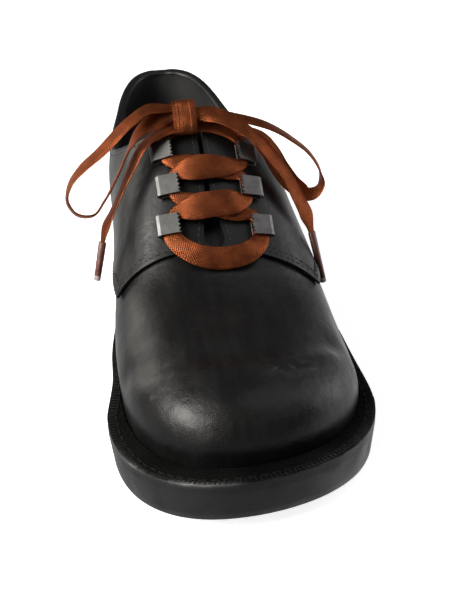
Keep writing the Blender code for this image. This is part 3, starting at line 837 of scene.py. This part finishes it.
collar_rows = front_to_back(collar_paths["medial"]) + front_to_back(collar_paths["lateral"])[::-1]
centres = [place - normal * WALL_MIDDLE for place, _, normal, _ in collar_rows]
normals = [normal for _, _, normal, _ in collar_rows]
rings = []
for index in range(0, len(centres), BINDING_STEP):
    first = max(0, index - BINDING_EASE)
    last = min(len(centres) - 1, index + BINDING_EASE)
    near = range(first, last + 1)
    centre = sum((centres[other] for other in near), Vector()) / len(near)
    normal = sum((normals[other] for other in near), Vector()).normalized()
    rise = normal.cross(centres[last] - centres[first]).normalized()
    rise = rise if rise.z > 0 else -rise
    turns = [2 * math.pi * step / BINDING_SIDES for step in range(BINDING_SIDES)]
    rings.append([centre + normal * (BINDING_HALF_WIDTH * math.cos(turn))
                  + rise * (BINDING_HALF_HEIGHT * math.sin(turn)) for turn in turns])
binding = ring_mesh("collar_binding", rings)
binding.data.materials.append(upper_leather)
dress(binding, "upper_leather")

# %% [markdown]
# ## Rubber
# The sole is black rubber: satin on its side, dull and pitted on top of the welt, ribbed underneath. One
# flat black would hide its edges. So each kind has its own polish and pits, and a value stored on the
# points lets a pale edge of wear and painted highlight come through, broken up with noise, so it comes and
# goes.

# %% Rubber
# Pale grey of the welt's edge: wear and a painted highlight.
WORN_AND_HIGHLIGHT_GREY = (0.28, 0.28, 0.285)
TREAD_PITCH_SCALE = 60.0


def rubber(name, dark, light, gloss, pit_scale, pit_strength, specular):
    """Black rubber with a patchy, pitted surface, and a pale edge of wear and painted highlight where a
    stored value is high.
    """
    made = plain_material(name, dark, gloss[1])
    place = object_place(made)
    body = drifting(made, place, 60.0, dark, light)
    patches = noise_range(made, place, 55.0, low=0.1, start=0.4, end=0.62)
    pits = noise_range(made, place, pit_scale, detail=6.0)
    shade, _ = wear_and_highlight_colour(made, "edge_wear_and_highlight", patches, body, WORN_AND_HIGHLIGHT_GREY)
    set_shader(made, {"Base Color": shade, "Roughness": noise_range(made, place, 90.0, *gloss),
                      "Normal": bumps(made, pits, distance=0.3 * MM, strength=pit_strength),
                      "Specular IOR Level": specular})
    return made


def drifting_material(name, colour, roughness, scale, dark, light):
    """A material whose colour drifts between two shades, and the place that its patterns read."""
    made = plain_material(name, colour, roughness)
    place = object_place(made)
    set_shader(made, {"Base Color": drifting(made, place, scale, dark, light)})
    return made, place


side_rubber = rubber("sole_side_rubber", (0.008, 0.008, 0.0083), (0.018, 0.018, 0.0185),
                     gloss=(0.4, 0.55), pit_scale=500.0, pit_strength=0.12, specular=0.28)
welt_rubber = rubber("welt_top_rubber", (0.0015, 0.0015, 0.0015), (0.004, 0.004, 0.004),
                     gloss=(0.6, 0.8), pit_scale=700.0, pit_strength=0.6, specular=0.08)
notch_rubber = rubber("notch_rubber", (0.003, 0.003, 0.003), (0.014, 0.014, 0.0143),
                      gloss=(0.5, 0.7), pit_scale=900.0, pit_strength=0.4, specular=0.2)
tread_rubber, tread_place = drifting_material("tread_rubber", (0.014, 0.014, 0.0145), 0.65, 80.0,
                                              (0.011, 0.011, 0.0115), (0.024, 0.023, 0.022))
tread_wave = new_node(tread_rubber, "ShaderNodeTexWave", {
    "Vector": tread_place, "Scale": TREAD_PITCH_SCALE, "bands_direction": "Y", "wave_profile": "TRI"})
tread_ribs = bumps(tread_rubber, tread_wave.outputs["Fac"], distance=1.0 * MM, strength=0.6)
set_shader(tread_rubber, {"Normal": tread_ribs})
print("rubber:", side_rubber.name, welt_rubber.name, notch_rubber.name, tread_rubber.name)

# %% [markdown]
# ## Outsole and heel
# The outsole and the heel are moulded blocks with firm edges. They could be built anew from the outline of
# the foot. Copies of the solids with fully creased rims keep the outline, and only the facets of the curve
# go.

# %% Outsole and heel
LOOKS_UP = 0.7
LOOKS_DOWN = -0.8
TOP_SLOT, SIDE_SLOT, BOTTOM_SLOT = 0, 1, 2


def sort_faces(piece, top, side, bottom):
    """Give the faces that look up, sideways and down a material each."""
    for made in (top, side, bottom):
        piece.data.materials.append(made)
    for face in piece.data.polygons:
        if face.normal.z > LOOKS_UP:
            face.material_index = TOP_SLOT
        elif face.normal.z < LOOKS_DOWN:
            face.material_index = BOTTOM_SLOT
        else:
            face.material_index = SIDE_SLOT


for node in ("outsole", "heel"):
    piece = copy_of(node, node + "_rubber")
    hold_rims(piece, angle=32, crease=1.0)
    round_facets(piece, ROUND_LEVELS)
    sort_faces(piece, side_rubber, side_rubber, tread_rubber)
    dress(piece, "sole_rubber", node)

# %% [markdown]
# ## Welt
# The welt is the flat strip that makes the wide ledge around the toe. Its underside is lowered a hair, to
# close the seam to the outsole. Its upper outer edge gets a small chamfer that catches the light. The edge
# is also painted pale, partly as wear and partly as a painted highlight, most at the front on the inner side.
# A picture could hold that paleness; here each point stores how near it is to that edge and to the palest
# spot.

# %% Welt
LEDGE_SPOT = Vector((-5.0, -146.0, 45.0)) * MM
SEAM_CLOSE = 0.28 * MM
SEAM_LOOKS_DOWN = -0.85
WELT_CHAMFER = 0.45 * MM
CHAMFER_SEGMENTS = 2
CHAMFER_TURN = math.radians(40)
ON_LINE = 0.25 * MM
# The edge's paleness is wear and a painted highlight, palest near one spot at the front.
EDGE_PALENESS_REACH = 0.8 * MM
LEAST_EDGE_PALENESS = 0.08
WEAR_AND_HIGHLIGHT_CENTRE = np.array((-40.0, -141.0, 23.0)) * MM
WEAR_AND_HIGHLIGHT_SPAN = 36.0 * MM


def chamfer_line(piece, line, width):
    """Bevel the edges of a piece that lie on a line of points."""
    on_line = distance_to_line(points_of(piece), line) < ON_LINE
    select_where(piece, "EDGE", lambda edge: all(on_line[vertex.index] for vertex in edge.verts)
                 and edge.calc_face_angle(0.0) > CHAMFER_TURN)
    bpy.ops.mesh.bevel(offset=width, segments=CHAMFER_SEGMENTS, affect="EDGES")
    bpy.ops.object.mode_set(mode="OBJECT")
    bpy.ops.object.shade_smooth_by_angle(angle=SMOOTH_ANGLE)


welt = copy_of("welt", "welt_strip")
hold_rims(welt, angle=45, crease=1.0)
select_where(welt, "FACE", lambda face: face.normal.z < SEAM_LOOKS_DOWN)
bpy.ops.transform.translate(value=(0.0, 0.0, -SEAM_CLOSE))
bpy.ops.object.mode_set(mode="OBJECT")
ledge_loops, ledge_tree = rim_loops(welt, LEDGE_SPOT)
ledge_edge = max(ledge_loops, key=lambda loop: max(point.x for point in loop))
ledge_line = ledge_edge + ledge_edge[:1]
round_facets(welt, ROUND_LEVELS)
chamfer_line(welt, ledge_line, WELT_CHAMFER)
welt_places = points_of(welt)
# Paleness along the edge, wear and painted highlight, strongest near the front spot.
near_edge = nearness(distance_to_line(welt_places, ledge_line), EDGE_PALENESS_REACH)
near_front = np.clip(1.0 - np.linalg.norm(welt_places - WEAR_AND_HIGHLIGHT_CENTRE, axis=1) / WEAR_AND_HIGHLIGHT_SPAN, 0.0, 1.0)
store(welt, "edge_wear_and_highlight", near_edge * (LEAST_EDGE_PALENESS + (1.0 - LEAST_EDGE_PALENESS) * near_front))
sort_faces(welt, welt_rubber, side_rubber, side_rubber)
dress(welt, "welt_strip", "welt")

# %% [markdown]
# ## Stitches and notches of the welt
# A row of thick stitches holds the welt, and a wheel has pressed short notches into its rim. Both could be
# bumps in the material, but they show in the outline of the ledge, so they are copies of the stitch along
# the ledge's edge: along it for the thread, and across it for the ridges between the notches.

# %% Stitches and notches of the welt
WELT_STITCH = {"length": 4.0 * MM, "radius": 0.5 * MM}
WELT_STITCH_PITCH = 5.0 * MM
WELT_STITCH_INSET = 4.2 * MM
NOTCH = {"length": 3.6 * MM, "radius": 0.36 * MM}
NOTCH_PITCH = 2.0 * MM
NOTCH_INSET = 2.5 * MM

welt_thread = spun("welt_thread", (0.003, 0.003, 0.003), (0.008, 0.0078, 0.0076), specular=0.15)
thread_rows = every(beside_rim(ledge_edge, ledge_tree, WELT_STITCH_INSET), WELT_STITCH_PITCH)
thread_places = [row[:3] for row in thread_rows]
dress(lay_stitches("welt_stitches", thread_places, material=welt_thread, **WELT_STITCH), "welt_strip")
notch_rows = every(beside_rim(ledge_edge, ledge_tree, NOTCH_INSET), NOTCH_PITCH)
notch_places = [(place, inward, normal) for place, _, normal, inward in notch_rows]
dress(lay_stitches("welt_notches", notch_places, material=notch_rubber, **NOTCH), "welt_strip")
print("welt:", len(thread_places), "stitches and", len(notch_places), "ridges")

# %% [markdown]
# ## Lace clips
# Each clip is a strip of sheet metal folded round the lace, with a toothed edge that grips it. It could be
# folded anew from a flat strip. The solids have the right form, so the copies only need the soft edges that
# catch the light, and a satin dark metal.

# %% Lace clips
CLIP_EDGE = 0.14 * MM
FLAT_TURN = math.radians(4)

gunmetal, metal_place = drifting_material("satin_gunmetal", (0.2, 0.2, 0.205), 0.36, 260.0,
                                          (0.14, 0.138, 0.135), (0.18, 0.178, 0.175))
satin = noise_range(gunmetal, metal_place, 420.0, low=0.42, high=0.52)
set_shader(gunmetal, {"Metallic": 1.0, "Roughness": satin})

for side in ("medial", "lateral"):
    for row in (1, 2, 3):
        node = "eyelet_clip_%s_%d" % (side, row)
        clip = copy_of(node, "clip_%s_%d" % (side, row))
        edit(clip, "SELECT")
        bpy.ops.mesh.dissolve_limited(angle_limit=FLAT_TURN)
        bpy.ops.object.mode_set(mode="OBJECT")
        soften_edges(clip, CLIP_EDGE)
        clip.data.materials.append(gunmetal)
        dress(clip, "clip_metal", node)

# %% [markdown]
# ## Lace
# The lace is a flat woven band with a satin gleam. A bevelled curve would twist where the band folds over,
# so the band is built ring by ring, with the direction that its face looks in at every waypoint. Each point
# stores its distance along and across the band, and the weave is drawn from those two values, so it follows
# every turn.

# %% Woven material
LACE_WIDTH = 9.6 * MM
WEAVE_ROUGHNESS = 0.36
RIB_SCALE = 520.0
RIB_WOBBLE = 0.6
RIB_SHARE = 0.55
FIRM_EDGE_START = 0.38
FIRM_EDGE_END = 0.45
WEAVE_GLEAM = {"Metallic": 0.85, "Specular IOR Level": 0.25, "Specular Tint": (0.78, 0.55, 0.48)}


def woven(name, dark, light):
    """Flat satin weave: two crossing sets of ribs, firm edges, a drifting shade and a coloured gleam."""
    made = plain_material(name, dark, WEAVE_ROUGHNESS)
    across = stored_value(made, "lace_across")
    flat = new_node(made, "ShaderNodeCombineXYZ", {"X": stored_value(made, "lace_along"), "Y": across})
    mirrored = new_node(made, "ShaderNodeMapping",
                        {"Vector": flat.outputs["Vector"], "Scale": (1.0, -1.0, 1.0)})
    ribs = [new_node(made, "ShaderNodeTexWave", {
        "Vector": way.outputs["Vector"], "Scale": RIB_SCALE, "Distortion": RIB_WOBBLE,
        "bands_direction": "DIAGONAL"}).outputs["Fac"] for way in (flat, mirrored)]
    weave = maths(made, "MAXIMUM", *ribs)
    drift = noise_range(made, object_place(made), 180.0, high=1.0 - RIB_SHARE)
    shade = maths(made, "MULTIPLY_ADD", weave, RIB_SHARE, drift)
    firm_edge = ramp(made, maths(made, "ABSOLUTE", across),
                     LACE_WIDTH * FIRM_EDGE_START, LACE_WIDTH * FIRM_EDGE_END, 0.0, 1.0)
    normal = bumps(made, weave, distance=0.2 * MM, strength=0.6)
    set_shader(made, {"Base Color": colour_between(made, shade, dark, light), **WEAVE_GLEAM,
                      "Normal": bumps(made, firm_edge, distance=0.3 * MM, strength=0.5, under=normal)})
    return made


rust_weave = woven("rust_weave", (0.066, 0.0175, 0.0095), (0.31, 0.082, 0.027))
print("weave:", rust_weave.name)

# %% Bands along a route
LACE_THICK = 1.1 * MM
RING_STEP = 1.2 * MM
SECTION = ((-1.0, 0.0), (-0.88, -0.8), (-0.45, -1.0), (0.0, -1.0), (0.45, -1.0), (0.88, -0.8),
           (1.0, 0.0), (0.88, 0.8), (0.45, 1.0), (0.0, 1.0), (-0.45, 1.0), (-0.88, 0.8))


def smooth_route(rows):
    """Rows at short steps on a smooth curve through the waypoints; all columns are carried along."""
    values = np.array(rows, dtype=float)
    travel = travel_along(values[:, :3])
    slopes = np.gradient(values, travel, axis=0)
    stops = np.linspace(0.0, travel[-1], int(travel[-1] / RING_STEP) + 2)
    smooth = []
    for stop in stops:
        row = min(max(int(np.searchsorted(travel, stop)) - 1, 0), len(travel) - 2)
        step = travel[row + 1] - travel[row]
        u = (stop - travel[row]) / step
        rise = values[row + 1] - values[row]
        first, last = slopes[row] * step, slopes[row + 1] * step
        bend = 3 * rise - 2 * first - last + u * (first + last - 2 * rise)
        smooth.append(values[row] + u * (first + u * bend))
    return smooth


def way_at(spots, index):
    """The direction in which a line of spots runs at one of them."""
    return (spots[min(index + 1, len(spots) - 1)] - spots[max(index - 1, 0)]).normalized()


def lace_band(name, spots, faces_up, widths):
    """A flat band along spots, facing the given directions, with its weave values stored on its points."""
    rings = []
    for index, spot in enumerate(spots):
        along = way_at(spots, index)
        across = along.cross(faces_up[index]).normalized()
        face = across.cross(along)
        rings.append([spot + across * (out * widths[index] / 2) + face * (up * LACE_THICK / 2)
                      for out, up in SECTION])
    piece = ring_mesh(name, rings)
    travel = travel_along(np.array(spots))
    store(piece, "lace_along", np.repeat(travel, len(SECTION)))
    store(piece, "lace_across", [out * width / 2 for width in widths for out, _ in SECTION])
    piece.data.materials.append(rust_weave)
    return piece, float(travel[-1])


print("band:", len(SECTION), "corners a ring, a ring every", RING_STEP / MM, "mm")

# %% [markdown]
# ## Crossings
# From the knot the lace runs down through the clips, across the front and up again, as one band. It could
# be cut into one strip for each crossing, but then every end would have to be hidden in a clip. Each
# waypoint gives a place, the direction in which the face looks, and the share of the full width that shows,
# because the lace bunches where it enters a clip.

# %% Crossings
CROSSINGS = (
    (-3.0, 9.4, 108.2, 0.10, -0.80, 0.60, 0.7), (8.5, 9.2, 105.7, 0.25, -0.70, 0.68, 0.75),
    (18.8, 4.6, 98.7, 0.46, -0.50, 0.73, 0.65), (17.8, -5.5, 92.5, 0.44, -0.52, 0.73, 0.55),
    (10.0, -9.8, 93.4, 0.22, -0.74, 0.63, 0.95), (1.0, -11.4, 94.7, 0.05, -0.80, 0.60, 1.2),
    (-8.5, -11.8, 94.4, -0.14, -0.74, 0.66, 1.15),
    (-15.0, -11.3, 92.0, -0.21, -0.63, 0.75, 0.6), (-15.5, -19.5, 85.0, -0.21, -0.63, 0.75, 0.6),
    (-9.0, -22.2, 82.6, -0.30, -0.60, 0.74, 0.9), (1.2, -23.8, 80.0, 0.08, -0.78, 0.62, 1.0),
    (10.5, -25.9, 77.0, 0.20, -0.70, 0.68, 0.9),
    (18.5, -25.8, 74.5, 0.32, -0.61, 0.72, 0.6), (20.7, -33.8, 66.8, 0.32, -0.61, 0.72, 0.85),
    (14.5, -40.8, 64.2, 0.30, -0.72, 0.62, 1.0), (1.3, -43.6, 63.2, 0.05, -0.85, 0.53, 1.06),
    (-12.5, -40.8, 66.6, -0.35, -0.62, 0.70, 1.0),
    (-19.4, -33.8, 71.3, -0.18, -0.64, 0.75, 0.85), (-17.0, -25.7, 78.8, -0.18, -0.64, 0.75, 0.65),
    (-9.8, -26.2, 81.2, -0.14, -0.74, 0.66, 1.2), (1.4, -26.0, 82.3, 0.05, -0.80, 0.60, 1.25),
    (10.8, -24.8, 81.9, 0.20, -0.74, 0.64, 1.15),
    (17.0, -19.8, 80.9, 0.36, -0.59, 0.72, 0.6), (16.5, -11.4, 88.0, 0.36, -0.59, 0.72, 0.6),
    (9.5, -9.7, 90.8, 0.22, -0.66, 0.72, 0.9), (1.2, -8.3, 93.0, 0.09, -0.64, 0.76, 1.0),
    (-8.5, -7.0, 95.6, -0.30, -0.55, 0.78, 0.95),
    (-16.4, -5.3, 96.9, -0.32, -0.54, 0.78, 0.65), (-17.5, 4.5, 103.3, -0.32, -0.54, 0.78, 0.7),
    (-14.0, 8.5, 107.0, -0.20, -0.75, 0.62, 0.9), (-8.0, 10.5, 109.5, -0.10, -0.80, 0.60, 0.8),
)
crossing_rows = smooth_route([(x * MM, y * MM, z * MM, *rest) for x, y, z, *rest in CROSSINGS])
crossings, crossing_length = lace_band(
    "lace_crossings_woven", [Vector(row[:3]) for row in crossing_rows],
    [Vector(row[3:6]) for row in crossing_rows], [LACE_WIDTH * row[6] for row in crossing_rows])
dress(crossings, "lace_webbing", "lace_crossings")
print("crossings:", round(crossing_length / MM), "mm of lace")

# %% [markdown]
# ## Bow
# Two loops and two ends leave the knot, and the lace is pinched narrow where the knot holds it. The inner
# loop comes back to the knot, and the outer one is tucked under the outer end before it gets there. A
# simulation could let them fall, but the bow would settle elsewhere. So each band follows the route of its
# solid, moved a little where strands would touch. A waypoint gives x, y and z from the solids' own origin,
# then the turn of the band's face about its length in degrees.

# %% Bow
STATION_ORIGIN = Vector((0.8, 151.0, 0.0))
BOW_FACE = Vector((0.0, -0.8, 0.6))
BOW = {
    "lace_loop_medial": (
        (-13, 165, 115.4, 35), (-22, 163, 116.4, 42), (-31, 158, 113, 45), (-47, 152, 101, 48),
        (-56, 149, 95, 55), (-62, 146, 89, 70), (-64, 143, 82, 85), (-60, 141, 76, 95), (-53, 141, 75, 100),
        (-47, 143, 81, 100), (-40, 147, 91, 100), (-33, 152, 102, 105), (-26, 157.6, 108.6, 140),
        (-14.5, 162, 111.8, 175)),
    "lace_end_medial": (
        (-14, 156, 107.6, 40), (-19.6, 155, 106.3, 50), (-27.6, 150.7, 102.1, 58), (-33.7, 147, 93.3, 64),
        (-39, 143, 85, 70), (-44, 141, 76, 70), (-48, 139, 69, 60), (-50, 137, 63, 60)),
    "lace_loop_lateral": (
        (0, 165, 112, -10), (13, 165, 109.5, -25), (25, 165, 106.5, -42), (35, 163, 103, -52),
        (45, 160, 97, -58), (54, 157, 89, -64), (58, 154, 81, -75), (58, 152, 75, -105), (52, 150, 72, -150),
        (45, 151, 76, -170), (38, 153, 85, -180), (33.1, 153.6, 94, -176), (25.2, 156.3, 102.3, -178),
        (18.5, 158.4, 103.8, -180)),
    "lace_end_lateral": (
        (0, 160, 113, -10), (9, 159, 112.2, -22), (18, 156, 107.8, -32), (26, 152, 102, -38),
        (33, 148.5, 93.2, -40), (40, 145, 83, -40), (44, 142, 74.6, -36), (48, 140, 65.2, -30),
        (50, 138, 57, -30)),
}
KNOT_STATION_X = -6.4
BACK_TO_KNOT = "lace_loop_medial"
TAPER_LENGTH = 10.0 * MM
TAPER_WIDTH = 3.6 * MM
GATHER_LENGTH = 16.0 * MM
GATHER_WIDTH = 4.6 * MM


def inside_knot(row):
    """A waypoint as high and as far back as the given one, in the middle of the knot."""
    return (KNOT_STATION_X, *row[1:])


def narrowed(away, length, width):
    """The lace's width at a distance from a narrow place, growing softly to full over a length."""
    share = min(1.0, away / length)
    return width + (LACE_WIDTH - width) * share * share * (3 - 2 * share)


def bow_band(node):
    """A band of the bow along its waypoints, gathered at the knot. A free end narrows towards its tip."""
    waypoints = [inside_knot(BOW[node][0]), *BOW[node]]
    if node == BACK_TO_KNOT:
        waypoints.append(inside_knot(BOW[node][-1]))
    rows = smooth_route([(*((Vector(row[:3]) - STATION_ORIGIN) * MM), row[3]) for row in waypoints])
    spots = [Vector(row[:3]) for row in rows]
    faces_up = [Quaternion(way_at(spots, index), math.radians(row[3])) @ BOW_FACE
                for index, row in enumerate(rows)]
    far_end = (TAPER_LENGTH, TAPER_WIDTH) if "end" in node else (GATHER_LENGTH, GATHER_WIDTH)
    widths = [min(narrowed((spot - spots[0]).length, GATHER_LENGTH, GATHER_WIDTH),
                  narrowed((spot - spots[-1]).length, *far_end)) for spot in spots]
    piece, length = lace_band(node + "_woven", spots, faces_up, widths)
    return piece, spots, length


bow = {node: bow_band(node) for node in BOW}
for node, (piece, spots, length) in bow.items():
    dress(piece, "lace_webbing", node)
    print(node, round(length / MM), "mm")

# %% [markdown]
# ## Knot
# The knot is one turn of the lace pulled over the bow. A real tied knot of bands would be hard to follow,
# and only its front shows. It starts as an open tube, squashed to the knot's height and depth. Solidify
# gives it the thickness of the lace, and a Subdivision Surface rounds its rims.

# %% Knot
KNOT_CENTRE = Vector((-7.0, 9.0, 112.0)) * MM
KNOT_LEAN = math.radians(-35.0)
KNOT_HALF = Vector((5.9, 4.5248, 8.6701)) * MM
KNOT_WRAP = 9.2 * MM
KNOT_SIDES = 28

bpy.ops.object.select_all(action="DESELECT")
bpy.ops.mesh.primitive_cylinder_add(vertices=KNOT_SIDES, radius=1.0, depth=2.0, end_fill_type="NOTHING")
knot = bpy.context.object
knot.name = "lace_knot_woven"
edit(knot, "SELECT")
bpy.ops.transform.rotate(value=math.pi / 2, orient_axis="Y", center_override=(0.0, 0.0, 0.0))
bpy.ops.transform.resize(value=KNOT_HALF)
bpy.ops.object.mode_set(mode="OBJECT")
x, y, z = points_of(knot).T
store(knot, "lace_along", np.arctan2(y / KNOT_HALF.y, z / KNOT_HALF.z) * KNOT_WRAP)
store(knot, "lace_across", x)
lean = Quaternion((1.0, 0.0, 0.0), KNOT_LEAN)
for vertex in knot.data.vertices:
    vertex.co = KNOT_CENTRE + lean @ vertex.co
apply_modifier(knot, "SOLIDIFY", thickness=LACE_THICK, offset=-1.0)
round_facets(knot, levels=1)
knot.data.materials.append(rust_weave)
dress(knot, "lace_webbing", "lace_knot")

# %% [markdown]
# ## Tips
# The tips are short wrapped tubes that grip the ends of the lace, wider where the band goes in and pale at
# the cut end. A plain cylinder would look like a pin, so the end is inset and raised a little, the tube is
# flared towards the lace, and its edges are softened.

# %% Tips
AGLETS = {"aglet_medial": (-54.4, 132.0, 46.3), "aglet_lateral": (54.4, 131.0, 33.1)}
AGLET_RADIUS = 1.6 * MM
AGLET_SIDES = 16
AGLET_FLARE = 1.25
AGLET_EDGE = 0.2 * MM
AGLET_SMOOTH = math.radians(45)
END_INSET = 0.4 * MM
END_RISE = 0.3 * MM
END_LOOKS_OUT = 0.9
TIP_LENGTH = 2.0 * MM
TUBE_SLOT, END_SLOT = 0, 1

aglet_brown, _ = drifting_material("brown_tip", (0.10, 0.03, 0.02), 0.35, 320.0,
                                   (0.085, 0.026, 0.018), (0.17, 0.06, 0.04))
aglet_pale, _ = drifting_material("pale_tip", (0.42, 0.36, 0.33), 0.4, 320.0,
                                  (0.3, 0.25, 0.23), (0.46, 0.4, 0.37))


def lace_tip(node):
    """A tapered tube on the end of the lace, with a pale cut end."""
    start = bow[node.replace("aglet", "lace_end")][1][-1]
    end = (Vector(AGLETS[node]) - STATION_ORIGIN) * MM
    length = (end - start).length
    pale_from = length / 2 - TIP_LENGTH
    bpy.ops.object.select_all(action="DESELECT")
    bpy.ops.mesh.primitive_cylinder_add(vertices=AGLET_SIDES, radius=AGLET_RADIUS, depth=length)
    tip = bpy.context.object
    tip.name = node + "_wrapped"
    select_where(tip, "FACE", lambda face: face.normal.z > END_LOOKS_OUT)
    bpy.ops.mesh.inset(thickness=END_INSET)
    bpy.ops.transform.translate(value=(0.0, 0.0, END_RISE))
    bpy.ops.mesh.select_all(action="SELECT")
    bpy.ops.mesh.bisect(plane_co=(0.0, 0.0, pale_from), plane_no=(0.0, 0.0, 1.0))
    bpy.ops.object.mode_set(mode="OBJECT")
    tip.data.materials.append(aglet_brown)
    tip.data.materials.append(aglet_pale)
    for face in tip.data.polygons:
        face.material_index = END_SLOT if face.center.z > pale_from else TUBE_SLOT
    turn = (end - start).to_track_quat("Z", "Y")
    middle = (start + end) / 2
    for vertex in tip.data.vertices:
        share = 0.5 - vertex.co.z / length
        flare = 1.0 + (AGLET_FLARE - 1.0) * share * share
        vertex.co = middle + turn @ Vector((vertex.co.x * flare, vertex.co.y, vertex.co.z))
    soften_edges(tip, AGLET_EDGE)
    bpy.ops.object.shade_smooth_by_angle(angle=AGLET_SMOOTH)
    dress(tip, "aglet_plastic", node)
    return tip


tips = {node: lace_tip(node) for node in AGLETS}

# %% [markdown]
# ## Free lace
# The bow hangs free of the shoe, and here the lengths of its bands are added up. The loops go back to the
# bow, and the ends finish in their tips.

print("free lace:", round(sum(length for _, _, length in bow.values()) / MM), "mm in", len(bow), "bands")
